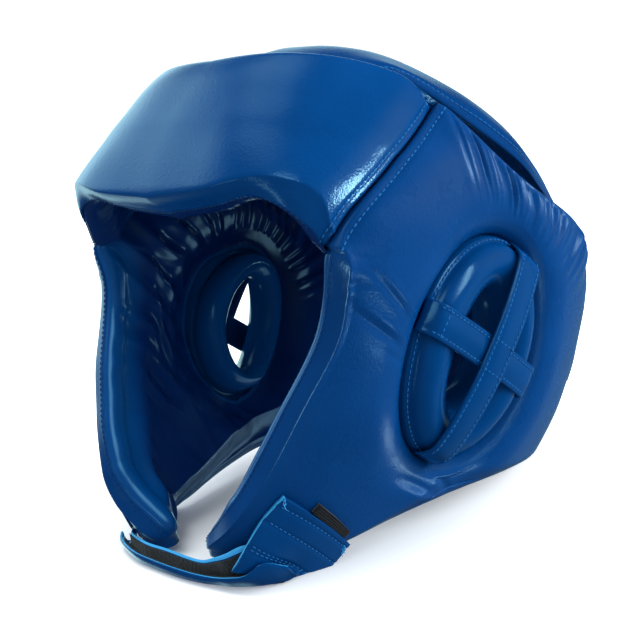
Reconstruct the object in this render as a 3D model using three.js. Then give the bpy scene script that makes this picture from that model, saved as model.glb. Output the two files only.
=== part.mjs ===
import * as THREE from "three";

// Driving dimensions in millimetres and degrees.
// Shapes are laid out as worn, head upright, then leaned back by PITCH to rest on the floor.
const PITCH = 28.5;
const FLOOR_DROP = 10;
const CENTRE_Y = 27.3;
const AXIS_Y = -22;
const REAR_SQUARE = 2.1;
const PAD_T = 23;
const EDGE_T = 13;
const EDGE_R = 5;
const EDGE_DROP = 3;
const PILLOW_IN = 16;
const LINING_IN = 24;
const SEAM_GAP = 0.5;
const SEAM_TURN = 0.95;
const REAR_GAP = 3;
const LAYER_GAP = 0.4;
const STRAP_T = 2.4;
const TAPE_T = 1.2;
const EAR = { phi: 81.5, z: 85, half: 40, tall: 54.5, tilt: 3 };
const EAR_HOLE = { half: 14, tall: 30 };
const EAR_STRAP_W = 13;

// Outer shell by worn height: half width, depth ahead of the axis, depth behind it, squareness of the front
const SECTIONS = [
  { z: -50, half: 50, front: 68, rear: 62, square: 3.6 },
  { z: -30, half: 58, front: 83, rear: 76, square: 3.8 },
  { z: -6, half: 70, front: 108, rear: 92, square: 4.0 },
  { z: 20, half: 82, front: 118, rear: 104, square: 4.1 },
  { z: 50, half: 95, front: 119, rear: 114, square: 4.3 },
  { z: 80, half: 102, front: 121, rear: 122, square: 4.6 },
  { z: 107, half: 104, front: 135, rear: 126, square: 5.0 },
  { z: 125, half: 104, front: 143, rear: 126, square: 5.0 },
  { z: 155, half: 102, front: 139, rear: 120, square: 3.7 },
  { z: 172, half: 98.5, front: 134, rear: 113, square: 3.3 },
  { z: 188, half: 95, front: 129, rear: 105, square: 3.0 },
  { z: 205, half: 90, front: 121, rear: 96, square: 2.9 },
];

// Temple seam between the front pad and a side pad
const SEAM = [
  { z: 100, phi: 39.6 },
  { z: 109, phi: 40.8 },
  { z: 145, phi: 46.9 },
  { z: 187, phi: 55.6 },
  { z: 195, phi: 57.5 },
];

// Front pad by share of the way from the middle to the seam
const BROW = [
  { u: 0, low: 113.5, high: 194 },
  { u: 0.37, low: 118.5, high: 196 },
  { u: 0.62, low: 124.5, high: 197.5 },
  { u: 0.78, low: 121.5, high: 196.5 },
  { u: 1, low: 101.5, high: 190 },
];

// Brow edge of the front pad from the lining outwards: way up from its lowest line, and depth
const BROW_EDGE = [
  { m: 4, depth: 15.5 },
  { m: 0.8, depth: 12.5 },
  { m: 0.8, depth: 9 },
  { m: 4, depth: 5.5 },
  { m: 9, depth: 2.6 },
];

// Edges of a side pad in order round the ear hole; ear is the matching angle on the oval, from its top forward
const RIM = [
  { phi: 178, z: 166, ear: -84, bow: 1 },
  { phi: 150, z: 166.5, ear: -66, bow: 1 },
  { phi: 125, z: 168, ear: -48, bow: 1 },
  { phi: 100, z: 169.5, ear: -25, bow: 1 },
  { phi: 84, z: 174, ear: -5, bow: 1 },
  { phi: 68, z: 182, ear: 15, bow: 1 },
  { phi: 57, z: 189.5, ear: 32, bow: 1 },
];
const FACE = [
  { phi: 41.6, z: 106, ear: 62, bow: 1 },
  { phi: 42.5, z: 76, ear: 86, bow: 1 },
  { phi: 38, z: 37, ear: 112, bow: 1 },
  { phi: 32, z: 3, ear: 130, bow: 1.2 },
  { phi: 24, z: -17, ear: 142, bow: 1.5 },
  { phi: 13, z: -29, ear: 150, bow: 1.7 },
];
const HEM = [
  { phi: 12, lift: 9, ear: 156, bow: 1.7 },
  { phi: 26, lift: 8, ear: 161, bow: 1.5 },
  { phi: 42, lift: 6, ear: 167, bow: 1.3 },
  { phi: 56, lift: 4, ear: 174, bow: 1.1 },
  { phi: 78, lift: 7, ear: 186, bow: 1 },
  { phi: 103, lift: 8, ear: 206, bow: 1 },
  { phi: 128, lift: 3, ear: 230, bow: 1 },
  { phi: 146, lift: -2.5, ear: 248, bow: 1 },
  { phi: 178, lift: -2.5, ear: 268, bow: 1 },
];

// Wall of the ear hole from the lining outwards: way in from the oval, and depth
const EAR_LEDGE = [
  { m: -11, depth: 11.2 },
  { m: 0, depth: 9.8 },
  { m: 0, depth: 7 },
  { m: 1.6, depth: 4.4 },
];

// Round section of the ear ring: share of the way from its hole to the oval, and depth
const EAR_RING = [
  { share: 0.98, depth: 8.6 },
  { share: 0.97, depth: 5.8 },
  { share: 0.88, depth: 3.6 },
  { share: 0.66, depth: 2.4 },
  { share: 0.4, depth: 3.2 },
  { share: 0.15, depth: 6.5 },
  { share: 0.02, depth: 12 },
  { share: 0, depth: 18 },
  { share: 0.05, depth: 24.5 },
  { share: 0.2, depth: 29.5 },
  { share: 0.38, depth: 30 },
  { share: 0.51, depth: 25.5 },
  { share: 0.53, depth: 17 },
  { share: 0.52, depth: 10.4 },
];

// Soft dents of the side pad: place, depth and reach
const DENTS = [
  { phi: 54, z: 78, deep: 2.4, wide: 13 },
  { phi: 47, z: 95, deep: 1.6, wide: 10 },
  { phi: 80, z: 20, deep: 1.6, wide: 12 },
  { phi: 108, z: 108, deep: 2, wide: 13 },
  { phi: 96, z: 150, deep: 1.6, wide: 14 },
];

const rad = THREE.MathUtils.degToRad;
const smooth = (t) => {
  const k = THREE.MathUtils.clamp(t, 0, 1);
  return k * k * (3 - 2 * k);
};

// Value of one column of a table at a key, on a curve that never overshoots the rows
function along(rows, key, column, at) {
  const last = rows.length - 1;
  const x = rows.map((row) => row[key]);
  const y = rows.map((row) => row[column]);
  const t = THREE.MathUtils.clamp(at, x[0], x[last]);
  const rise = (i) => (y[i + 1] - y[i]) / (x[i + 1] - x[i]);
  const slope = (i) => {
    if (i === 0) return rise(0);
    if (i === last) return rise(last - 1);
    const product = rise(i - 1) * rise(i);
    return product > 0 ? (2 * product) / (rise(i - 1) + rise(i)) : 0;
  };
  let i = 0;
  while (i < last - 1 && t > x[i + 1]) i += 1;
  const h = x[i + 1] - x[i];
  const s = (t - x[i]) / h;
  const a = (1 + 2 * s) * (1 - s) ** 2 * y[i] + s * s * (3 - 2 * s) * y[i + 1];
  return a + h * s * (1 - s) ** 2 * slope(i) - h * s * s * (1 - s) * slope(i + 1);
}

// Point of the outer shell at an angle from the front and a worn height
function shell(phi, z) {
  const s = Math.sin(rad(phi));
  const c = Math.cos(rad(phi));
  const ahead = c >= 0;
  const n = ahead ? along(SECTIONS, "z", "square", z) : REAR_SQUARE;
  const wide = Math.abs(s) / along(SECTIONS, "z", "half", z);
  const deep = Math.abs(c) / along(SECTIONS, "z", ahead ? "front" : "rear", z);
  const r = (wide ** n + deep ** n) ** (-1 / n);
  return new THREE.Vector3(r * s, AXIS_Y - r * c, z);
}

function outward(phi, z) {
  const turn = shell(phi + 0.5, z).sub(shell(phi - 0.5, z));
  const climb = shell(phi, z + 1).sub(shell(phi, z - 1));
  return turn.cross(climb).normalize();
}

// Point at a depth inside the shell, or outside it where the depth is negative
function inside(phi, z, depth) {
  return shell(phi, z).addScaledVector(outward(phi, z), -depth);
}

// From the worn frame to the resting one, with what would sink below the floor pressed flat on it
function rested(p) {
  const c = Math.cos(rad(PITCH));
  const s = Math.sin(rad(PITCH));
  const z = p.z * c - p.y * s - FLOOR_DROP;
  return new THREE.Vector3(p.x, p.y * c + p.z * s, Math.max(0, z));
}

const heightOver = (phi, z) => {
  const p = shell(phi, z);
  return p.z * Math.cos(rad(PITCH)) - p.y * Math.sin(rad(PITCH)) - FLOOR_DROP;
};

// Worn height at which the shell stands a given lift over the floor
function heightAt(phi, lift) {
  let low = -50;
  let high = 120;
  for (let i = 0; i < 40; i += 1) {
    const mid = (low + high) / 2;
    if (heightOver(phi, mid) < lift) low = mid;
    else high = mid;
  }
  return (low + high) / 2;
}

// Closed grid of rings of points: wrapped on itself, or capped at both ends
function gridGeometry(rings, wrapped) {
  const n = rings[0].length;
  const points = rings.flat();
  const faces = [];
  const steps = wrapped ? rings.length : rings.length - 1;
  for (let i = 0; i < steps; i += 1) {
    for (let j = 0; j < n; j += 1) {
      const a = i * n + j;
      const b = i * n + ((j + 1) % n);
      const c = ((i + 1) % rings.length) * n + ((j + 1) % n);
      const d = ((i + 1) % rings.length) * n + j;
      const flip = points[b].distanceToSquared(points[d]) < points[a].distanceToSquared(points[c]);
      faces.push(...(flip ? [a, b, d, b, c, d] : [a, b, c, a, c, d]));
    }
  }
  if (!wrapped) {
    [0, rings.length - 1].forEach((ring) => {
      const centre = new THREE.Vector3();
      rings[ring].forEach((p) => centre.addScaledVector(p, 1 / n));
      const hub = points.push(centre) - 1;
      for (let j = 0; j < n; j += 1) {
        const a = ring * n + j;
        const b = ring * n + ((j + 1) % n);
        faces.push(...(ring === 0 ? [hub, b, a] : [hub, a, b]));
      }
    });
  }
  const geometry = new THREE.BufferGeometry().setFromPoints(points);
  geometry.setIndex(faces);
  return geometry;
}

// Six times the volume that a geometry encloses, negative where it faces inwards
function facing(geometry) {
  const at = geometry.getAttribute("position");
  const index = geometry.getIndex();
  const corner = (k) => new THREE.Vector3().fromBufferAttribute(at, index.getX(k));
  let sum = 0;
  for (let i = 0; i < index.count; i += 3) {
    sum += corner(i).dot(corner(i + 1).cross(corner(i + 2)));
  }
  return sum;
}

const group = new THREE.Group();
group.name = "head_guard";

function add(name, geometry, color) {
  if (facing(geometry) < 0) {
    const index = geometry.getIndex();
    for (let i = 0; i < index.count; i += 3) {
      const swap = index.getX(i + 1);
      index.setX(i + 1, index.getX(i + 2));
      index.setX(i + 2, swap);
    }
  }
  geometry.computeVertexNormals();
  const material = new THREE.MeshStandardMaterial({ color, roughness: 0.4 });
  const mesh = new THREE.Mesh(geometry, material);
  mesh.name = name;
  group.add(mesh);
}

const LEATHER = 0x1f3f9a;
const BLACK = 0x151518;

// Cross-section of a pad from one edge to the other: way along it and depth, round a closed loop
function padLoop(length, counts, ledge, dentAt) {
  const loop = [];
  const crown = (m) => EDGE_DROP * (1 - smooth(Math.min(m, length - m) / PILLOW_IN));
  const back = (m) => EDGE_T + (PAD_T - EDGE_T) * smooth(Math.min(m, length - m) / LINING_IN);
  const span = (i, start) => start + (i / counts.face) * (length - EDGE_R - start);
  const round = (m, way) => {
    const top = crown(m);
    const half = (back(m) - top) / 2;
    for (let k = 1; k <= counts.edge; k += 1) {
      const a = Math.PI * (k / (counts.edge + 1)) - Math.PI / 2;
      loop.push({ m: m + way * EDGE_R * Math.cos(a), depth: top + half + way * half * Math.sin(a) });
    }
  };
  const rim = ledge.length ? ledge[ledge.length - 1].m + 3.4 : EDGE_R;
  for (let i = 0; i <= counts.face; i += 1) {
    const m = span(i, rim);
    loop.push({ m, depth: crown(m) + dentAt(m) });
  }
  round(length - EDGE_R, 1);
  const start = ledge.length ? ledge[0].m : EDGE_R;
  for (let i = counts.face; i >= 0; i -= 1) {
    const m = span(i, start);
    loop.push({ m, depth: back(Math.max(m, EDGE_R)) });
  }
  if (ledge.length) loop.push(...ledge);
  else round(EDGE_R, -1);
  return loop;
}

// Front pad: one loop from the brow to the rim for each step across
function frontPad() {
  const steps = 24;
  const rings = [];
  for (let i = 0; i <= steps; i += 1) {
    const u = (2 * i) / steps - 1;
    const low = along(BROW, "u", "low", Math.abs(u));
    const high = along(BROW, "u", "high", Math.abs(u));
    const near = smooth((1 - Math.abs(u)) * 5);
    const loop = padLoop(high - low, { face: 5, edge: 3 }, BROW_EDGE, () => 2 * (1 - near));
    rings.push(
      loop.map(({ m, depth }) => {
        const z = low + m;
        const edge = along(SEAM, "z", "phi", z);
        const p = inside(u * edge, z, depth);
        p.x -= Math.sign(u) * (Math.abs(u) > 0.99 ? SEAM_GAP / 2 : 0);
        return rested(p);
      }),
    );
  }
  return gridGeometry(rings, false);
}

// Point of an oval about the ear, at an angle from its top towards the face
function oval(size, angle) {
  const side = size.half * Math.sin(rad(angle));
  const up = size.tall * Math.cos(rad(angle));
  const t = rad(EAR.tilt);
  const z = EAR.z + up * Math.cos(t) + side * Math.sin(t);
  const reach = shell(EAR.phi, z);
  const radius = Math.hypot(reach.x, reach.y - AXIS_Y);
  const ahead = side * Math.cos(t) - up * Math.sin(t);
  return { phi: EAR.phi - THREE.MathUtils.radToDeg(ahead / radius), z };
}

// Outline of a side pad, sampled evenly on each of its four edges
function sideOutline() {
  const edges = [];
  const run = (count, at) => {
    for (let i = 0; i < count; i += 1) edges.push(at(i / count));
  };
  const table = (rows) => (t) => {
    const keyed = rows.map((row, i) => ({ ...row, i }));
    const k = t * (rows.length - 1);
    return {
      phi: along(keyed, "i", "phi", k),
      z: along(keyed, "i", "z", k),
      ear: along(keyed, "i", "ear", k),
      bow: along(keyed, "i", "bow", k),
    };
  };
  const hem = HEM.map((row) => ({ ...row, z: heightAt(row.phi, row.lift) }));
  const top = RIM[RIM.length - 1];
  const foot = FACE[0];
  const rimEnd = RIM[0];
  const hemEnd = hem[hem.length - 1];
  const line = (a, b) => (t) => {
    const z = a.z + (b.z - a.z) * t;
    return { phi: a.phi + (b.phi - a.phi) * t, z, ear: a.ear + (b.ear - a.ear) * t, bow: a.bow };
  };
  run(16, table(RIM));
  run(6, (t) => {
    const at = line(top, foot)(t);
    return { ...at, phi: along(SEAM, "z", "phi", at.z) + SEAM_TURN };
  });
  run(15, table(FACE));
  run(2, line(FACE[FACE.length - 1], hem[0]));
  run(21, table(hem));
  run(5, line(hemEnd, { ...rimEnd, ear: rimEnd.ear + 360 }));
  return edges;
}

// Side pad: spokes from the ear hole to the outline, each a closed loop through the thickness
function sidePad(side) {
  const rings = sideOutline().map((edge) => {
    const hole = oval(EAR, edge.ear);
    const a = shell(hole.phi, hole.z);
    const b = shell(edge.phi, edge.z);
    const length = Math.max(a.distanceTo(b), 2 * EDGE_R + 4);
    const at = (m) => {
      const t = m / length;
      const fall = t < 0 ? t : 1 - (1 - t) ** edge.bow;
      return { phi: hole.phi + (edge.phi - hole.phi) * t, z: hole.z + (edge.z - hole.z) * fall };
    };
    const dent = (m) => {
      const { phi, z } = at(m);
      let sum = 0;
      DENTS.forEach((row) => {
        const across = rad(phi - row.phi) * 104;
        sum += row.deep * Math.exp(-(across ** 2 + (z - row.z) ** 2) / row.wide ** 2);
      });
      return sum;
    };
    return padLoop(length, { face: 6, edge: 3 }, EAR_LEDGE, dent).map(({ m, depth }) => {
      const { phi, z } = at(m);
      const p = inside(phi, z, depth);
      p.x = Math.max(p.x, REAR_GAP / 2);
      const q = rested(p);
      q.x *= side;
      return q;
    });
  });
  return gridGeometry(rings, true);
}

// Ear pad: fat ring that fills the ear hole round a smaller oval
function earPad(side) {
  const around = 36;
  const rings = [];
  for (let i = 0; i < around; i += 1) {
    const ring = EAR_RING.map(({ share, depth }) => {
      const size = {
        half: EAR_HOLE.half + (EAR.half - EAR_HOLE.half) * share,
        tall: EAR_HOLE.tall + (EAR.tall - EAR_HOLE.tall) * share,
      };
      const { phi, z } = oval(size, (360 * i) / around);
      const q = rested(inside(phi, z, depth));
      q.x *= side;
      return q;
    });
    rings.push(ring);
  }
  return gridGeometry(rings, true);
}

// Flat band on the shell between two edges given as functions of the way along it
function bandGeometry(steps, across, corner) {
  const rings = [];
  for (let i = 0; i <= steps; i += 1) {
    const ring = [];
    for (let k = 0; k <= across; k += 1) ring.push(corner(i / steps, k / across, 0));
    for (let k = across; k >= 0; k -= 1) ring.push(corner(i / steps, k / across, 1));
    rings.push(ring);
  }
  return gridGeometry(rings, false);
}

// Ear strap: straight across the oval at a slant, lying over the ring
function earStrap(side, from, to, top) {
  const a = oval({ half: EAR.half - 3, tall: EAR.tall - 3 }, from);
  const b = oval({ half: EAR.half - 3, tall: EAR.tall - 3 }, to);
  const run = new THREE.Vector2(rad(b.phi - a.phi) * 104, b.z - a.z);
  const normal = new THREE.Vector2(-run.y, run.x).normalize();
  return bandGeometry(10, 2, (t, w, lower) => {
    const off = (w - 0.5) * EAR_STRAP_W;
    const phi = a.phi + (b.phi - a.phi) * t + THREE.MathUtils.radToDeg((normal.x * off) / 104);
    const z = a.z + (b.z - a.z) * t + normal.y * off;
    const ends = Math.abs(2 * t - 1);
    const dip = top ? 4 * ends ** 4 - STRAP_T - LAYER_GAP : 1.4 * ends ** 6;
    const depth = dip - 0.9 + lower * STRAP_T;
    const q = rested(inside(phi, z, depth));
    q.x *= side;
    return q;
  });
}

// Crown strip: centre line in the middle plane, by worn depth and height, with half width and thickness
const CROWN = [
  { y: -128, z: 178, half: 56, thick: 4, sag: 10 },
  { y: -121, z: 197, half: 64, thick: 7, sag: 14 },
  { y: -99, z: 212, half: 71, thick: 9, sag: 20 },
  { y: -60, z: 221, half: 75, thick: 10, sag: 27 },
  { y: -18, z: 221, half: 74, thick: 10, sag: 32 },
  { y: 20, z: 214, half: 68, thick: 10, sag: 31 },
  { y: 50, z: 201, half: 58, thick: 10, sag: 24 },
  { y: 71, z: 184.5, half: 49, thick: 8, sag: 15 },
  { y: 77, z: 163, half: 42, thick: 5, sag: 9 },
];

const centreLine = (rows) => new THREE.CatmullRomCurve3(rows.map((row) => new THREE.Vector3(0, row.y, row.z)));

function crownPad() {
  const line = centreLine(CROWN);
  const keyed = CROWN.map((row, i) => ({ ...row, i }));
  const steps = 20;
  const rings = [];
  for (let i = 0; i <= steps; i += 1) {
    const t = i / steps;
    const k = t * (CROWN.length - 1);
    const half = along(keyed, "i", "half", k);
    const thick = along(keyed, "i", "thick", k);
    const sag = along(keyed, "i", "sag", k);
    const centre = line.getPoint(t);
    const ahead = line.getTangent(t);
    const up = new THREE.Vector3(0, -ahead.z, ahead.y);
    const ring = [];
    const around = 14;
    for (let j = 0; j < around; j += 1) {
      const a = (2 * Math.PI * j) / around;
      const bend = (v, e) => Math.sign(v) * Math.abs(v) ** e;
      const side = bend(Math.cos(a), 0.45);
      const rise = (thick / 2) * bend(Math.sin(a), 0.7);
      const p = centre.clone().addScaledVector(up, rise - sag * side * side);
      p.x += half * side;
      ring.push(rested(p));
    }
    rings.push(ring);
  }
  return gridGeometry(rings, false);
}

// Straps that lie on the outside of the pads, by angle and worn height
function shellBand(steps, across, spot, offset, thick) {
  return bandGeometry(steps, across, (t, w, lower) => {
    const { phi, z } = spot(t, w);
    return rested(inside(phi, z, -offset - (1 - lower) * thick));
  });
}

// Crown tail: centre line over the rear rim, with its fall at the edges
const TAIL = [
  { y: 55, z: 205.5, sag: 9 },
  { y: 73, z: 195, sag: 8.5 },
  { y: 87.5, z: 183, sag: 8 },
  { y: 97.8, z: 168, sag: 7.2 },
  { y: 102.5, z: 152, sag: 7.2 },
  { y: 105.6, z: 136, sag: 7.2 },
];
const TAIL_HALF = 36;
const REAR_STRAP = { from: 150, to: 210, low: 92, high: 126 };

function crownTail() {
  const line = centreLine(TAIL);
  const keyed = TAIL.map((row, i) => ({ ...row, i }));
  return bandGeometry(12, 6, (t, w, lower) => {
    const side = 2 * w - 1;
    const ahead = line.getTangent(t);
    const up = new THREE.Vector3(0, -ahead.z, ahead.y);
    const sag = along(keyed, "i", "sag", t * (TAIL.length - 1));
    const p = line.getPoint(t).addScaledVector(up, (0.5 - lower) * STRAP_T - sag * side * side);
    p.x += TAIL_HALF * side;
    return rested(p);
  });
}

// Corners of the strap patch on a cheek, by angle and worn height
const PATCH = {
  topFace: { phi: 39.6, z: 2.3 },
  topBack: { phi: 62, z: -12 },
  lowFace: { phi: 27, z: -31 },
  lowBack: { phi: 56, z: -22.5 },
};
const HOOK = { from: 0.4, to: 0.97, reach: 7 };

// Spot on a cheek from the top edge of the patch to its low edge, and from the face to the back
function patchSpot(side, t, w) {
  const mix = (key) => {
    const top = PATCH.topFace[key] * (1 - w) + PATCH.topBack[key] * w;
    const low = PATCH.lowFace[key] * (1 - w) + PATCH.lowBack[key] * w;
    return top * (1 - t) + low * t;
  };
  return { phi: side * mix("phi"), z: mix("z") };
}

function strapPatch(side) {
  return shellBand(6, 6, (t, w) => patchSpot(side, t, w), LAYER_GAP, STRAP_T);
}

// Hook tape: shows beyond the top edge of the left patch
function hookTape() {
  const share = (w) => HOOK.from + (HOOK.to - HOOK.from) * w;
  const rise = (t) => -0.015 - (HOOK.reach / 40) * (1 - t);
  return shellBand(2, 5, (t, w) => patchSpot(1, rise(t), share(w)), LAYER_GAP, STRAP_T);
}

// Chin strap on the floor: front edge and back edge by row, from the left cheek to the right
const CHIN = [
  { fx: 47, fy: -98, fz: 2.6, bx: 55, by: -68, bz: 1.3 },
  { fx: 37, fy: -106, fz: 3, bx: 42, by: -75, bz: 1.3 },
  { fx: 20, fy: -110.5, fz: 3.4, bx: 22, by: -79.5, bz: 1.3 },
  { fx: -2, fy: -112.5, fz: 4, bx: -1, by: -81.5, bz: 1.3 },
  { fx: -25, fy: -112, fz: 4, bx: -23, by: -80.5, bz: 1.3 },
  { fx: -41, fy: -109, fz: 3.4, bx: -43, by: -76, bz: 1.3 },
  { fx: -52, fy: -103, fz: 2.8, bx: -57, by: -68, bz: 1.3 },
];
const TAPE_INSET = 0.1;

// Band along the chin strap, between two shares of its length, offset up from its middle
function chinBand(from, to, steps, inset, offset, thick) {
  const edge = (k) => {
    const rows = CHIN.map((row) => new THREE.Vector3(row[k + "x"], row[k + "y"], row[k + "z"]));
    return new THREE.CatmullRomCurve3(rows);
  };
  const face = edge("f");
  const back = edge("b");
  return bandGeometry(steps, 2, (t, w, lower) => {
    const k = from + (to - from) * t;
    const a = face.getPoint(k);
    const b = back.getPoint(k);
    const ahead = face.getTangent(k).add(back.getTangent(k));
    const normal = b.clone().sub(a).cross(ahead).normalize();
    normal.multiplyScalar(Math.sign(normal.z));
    const share = inset + (1 - 2 * inset) * w;
    const p = a.lerp(b, share).addScaledVector(normal, offset + (0.5 - lower) * thick);
    p.z = Math.max(p.z, 0);
    return p;
  });
}

add("front_pad", frontPad(), LEATHER);
[
  ["left", 1],
  ["right", -1],
].forEach(([word, side]) => {
  add(word + "_side_pad", sidePad(side), LEATHER);
  add(word + "_ear_pad", earPad(side), LEATHER);
  add(word + "_ear_strap_long", earStrap(side, -24, 174, true), LEATHER);
  add(word + "_ear_strap_cross", earStrap(side, 84, 264, false), LEATHER);
});
add("crown_pad", crownPad(), LEATHER);
add("crown_tail", crownTail(), LEATHER);
add(
  "rear_strap",
  shellBand(
    12,
    2,
    (t, w) => ({
      phi: REAR_STRAP.from + (REAR_STRAP.to - REAR_STRAP.from) * t,
      z: REAR_STRAP.low + (REAR_STRAP.high - REAR_STRAP.low) * w,
    }),
    2 * LAYER_GAP,
    STRAP_T,
  ),
  LEATHER,
);
add("chin_strap", chinBand(0, 1, 36, 0, 0, STRAP_T), LEATHER);
add("chin_strap_tape", chinBand(0.08, 0.9, 30, TAPE_INSET, STRAP_T / 2 + TAPE_T / 2 + 0.3, TAPE_T), BLACK);
add("left_strap_patch", strapPatch(1), LEATHER);
add("right_strap_patch", strapPatch(-1), LEATHER);
add("left_hook_tape", hookTape(), BLACK);




group.children.forEach((mesh) => mesh.geometry.translate(0, -CENTRE_Y, 0));

export default group;
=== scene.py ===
import math

import bmesh
import bpy
import numpy as np
from mathutils import Matrix, Vector, noise


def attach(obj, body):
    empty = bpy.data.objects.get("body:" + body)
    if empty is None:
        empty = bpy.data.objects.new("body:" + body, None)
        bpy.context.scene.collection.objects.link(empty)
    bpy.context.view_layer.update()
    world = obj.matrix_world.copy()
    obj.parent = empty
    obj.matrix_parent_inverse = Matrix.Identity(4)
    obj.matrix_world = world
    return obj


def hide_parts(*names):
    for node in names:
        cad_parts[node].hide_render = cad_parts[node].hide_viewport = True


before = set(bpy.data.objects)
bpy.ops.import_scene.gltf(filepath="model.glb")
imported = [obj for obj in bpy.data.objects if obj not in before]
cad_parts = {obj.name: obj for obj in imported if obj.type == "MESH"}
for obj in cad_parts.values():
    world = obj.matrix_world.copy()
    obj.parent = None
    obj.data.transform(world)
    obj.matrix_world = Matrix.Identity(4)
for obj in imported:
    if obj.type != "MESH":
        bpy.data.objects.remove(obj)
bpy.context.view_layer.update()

# Front pad: the forehead cushion, foam under coated leather, sewn to both side pads at the temples.
# Its brow is a flat strip folded under the forehead, and the lining behind it is gathered into the seam.
# All pads are laid out as worn, in millimetres, then leaned back to the way the guard rests on the floor.
MM = 0.001
PITCH = math.radians(28.5)
FLOOR_DROP = 10
CENTRE_Y = 27.3
AXIS_Y = -22
REAR_SQUARE = 2.1
PAD_T = 23


def table(columns, *rows):
    return dict(zip(columns.split(), np.array(rows, float).T))


# Outer shell by worn height: half width, depth ahead of the axis, depth behind it, squareness of the front
SECTIONS = table(
    "z half front rear square",
    (-50, 50, 68, 62, 3.6),
    (-30, 58, 83, 76, 3.8),
    (-6, 70, 108, 92, 4.0),
    (20, 82, 118, 104, 4.1),
    (50, 95, 119, 114, 4.3),
    (80, 102, 121, 122, 4.6),
    (107, 104, 135, 126, 5.0),
    (125, 104, 143, 126, 5.0),
    (155, 102, 139, 120, 3.7),
    (172, 98.5, 134, 113, 3.3),
    (188, 95, 129, 105, 3.0),
    (205, 90, 121, 96, 2.9),
)
SEAM = table("z phi", (100, 39.6), (109, 40.8), (145, 46.9), (187, 55.6), (195, 57.5))
BROW = table(
    "u low high",
    (0, 111, 194),
    (0.37, 114, 196),
    (0.62, 119.5, 197.5),
    (0.78, 117, 196.5),
    (1, 105, 190),
)
# Rim of a pad from its cover over to its lining: way from the edge, and depth
RIM_ROLL = table(
    "m depth",
    (-6, 1.6), (-3.4, 2.1), (-1.6, 2.9), (-0.5, 4.2),
    (0, 6.6), (-0.4, 9.8), (-1.8, 12), (-4.5, 13.2),
)
# Brow from the lining out over the strip to the crease: way up from its lowest line and depth, at mid
# brow and at the temple, where the strip lies along the shell
BROW_FOLD = table(
    "m depth temple_m temple_depth",
    (14, 23.6, 14, 20),
    (6, 23.6, 6, 19),
    (0, 22, 1, 16.5),
    (-2.6, 18.5, -2.2, 12.5),
    (-2.2, 14.8, -3, 8.6),
    (-0.4, 12, -1.8, 5.4),
    (0.9, 10.8, 0.2, 4.2),
    (0.5, 9.8, -0.2, 3.2),
    (1, 8.6, 0.4, 2.3),
    (2.9, 6.4, 4, 1.4),
    (5.4, 3.4, 8.8, 0.4),
    (7.8, 0.8, 11.8, -0.7),
    (9, -0.2, 13, -1),
    (10.6, -0.4, 14.8, -0.8),
)
SEAM_DIP = 6.2
SEAM_REACH = 25
STITCH_IN = 3.8


def smooth(t):
    k = np.clip(t, 0, 1)
    return k * k * (3 - 2 * k)


# Fall from 1 at an edge to 0 at a distance from it
def fade(distance, reach):
    return np.clip(1 - distance / reach, 0, 1) ** 2


def bell(distance, width):
    return np.exp(-((distance / width) ** 2))


# Value on the straight way from one to another
def between(a, b, t):
    return a + (b - a) * t


# Value of one column of a table at a key, on a curve that never overshoots the rows
def along(rows, key, column, at):
    x, y = rows[key], rows[column]
    t = np.clip(at, x[0], x[-1])
    h = np.diff(x)
    rise = np.diff(y) / h
    slope = np.empty_like(y)
    slope[0], slope[-1] = rise[0], rise[-1]
    product = rise[:-1] * rise[1:]
    total = np.where(product > 0, rise[:-1] + rise[1:], 1)
    slope[1:-1] = np.where(product > 0, 2 * product / total, 0)
    i = np.clip(np.searchsorted(x, t) - 1, 0, len(h) - 1)
    s = (t - x[i]) / h[i]
    ends = (1 + 2 * s) * (1 - s) ** 2 * y[i] + s * s * (3 - 2 * s) * y[i + 1]
    return ends + h[i] * s * (1 - s) ** 2 * slope[i] - h[i] * s * s * (1 - s) * slope[i + 1]


# Point of the outer shell at an angle from the front and a worn height
def shell(phi, z):
    s, c = np.sin(np.radians(phi)), np.cos(np.radians(phi))
    square = np.where(c >= 0, along(SECTIONS, "z", "square", z), REAR_SQUARE)
    reach = np.where(c >= 0, along(SECTIONS, "z", "front", z), along(SECTIONS, "z", "rear", z))
    wide = np.abs(s) / along(SECTIONS, "z", "half", z)
    r = (wide**square + (np.abs(c) / reach) ** square) ** (-1 / square)
    return np.stack([r * s, AXIS_Y - r * c, z + 0 * r], -1)


def inside(phi, z, depth):
    turn = shell(phi + 0.5, z) - shell(phi - 0.5, z)
    climb = shell(phi, z + 1) - shell(phi, z - 1)
    out = np.cross(turn, climb)
    out /= np.linalg.norm(out, axis=-1, keepdims=True)
    return shell(phi, z) - out * np.asarray(depth)[..., None]


# From the worn frame to the resting one, with what would sink below the floor pressed flat on it
def rested(p):
    c, s = math.cos(PITCH), math.sin(PITCH)
    x, y, z = np.moveaxis(p, -1, 0)
    return np.stack([x, y * c + z * s - CENTRE_Y, np.maximum(z * c - y * s - FLOOR_DROP, 0)], -1)


# Smooth curve through rows of points, read at shares of its length in rows
def through(rows, t):
    p = np.concatenate([[2 * rows[0] - rows[1]], rows, [2 * rows[-1] - rows[-2]]])
    k = np.asarray(t) * (len(rows) - 1)
    i = np.clip(k.astype(int), 0, len(rows) - 2)
    s = (k - i).reshape(k.shape + (1,) * (p.ndim - 1))
    a, b, c, d = p[i], p[i + 1], p[i + 2], p[i + 3]
    return 0.5 * (2 * b + (c - a) * s + (2 * a - 5 * b + 4 * c - d) * s**2 + (3 * b - a - 3 * c + d) * s**3)


# Columns of a profile at even steps along it
def profile(rows, count):
    return [through(column, np.linspace(0, 1, count)) for column in rows.values()]


def linked(name, data):
    made = bpy.data.objects.new(name, data)
    bpy.context.collection.objects.link(made)
    return made


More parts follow.
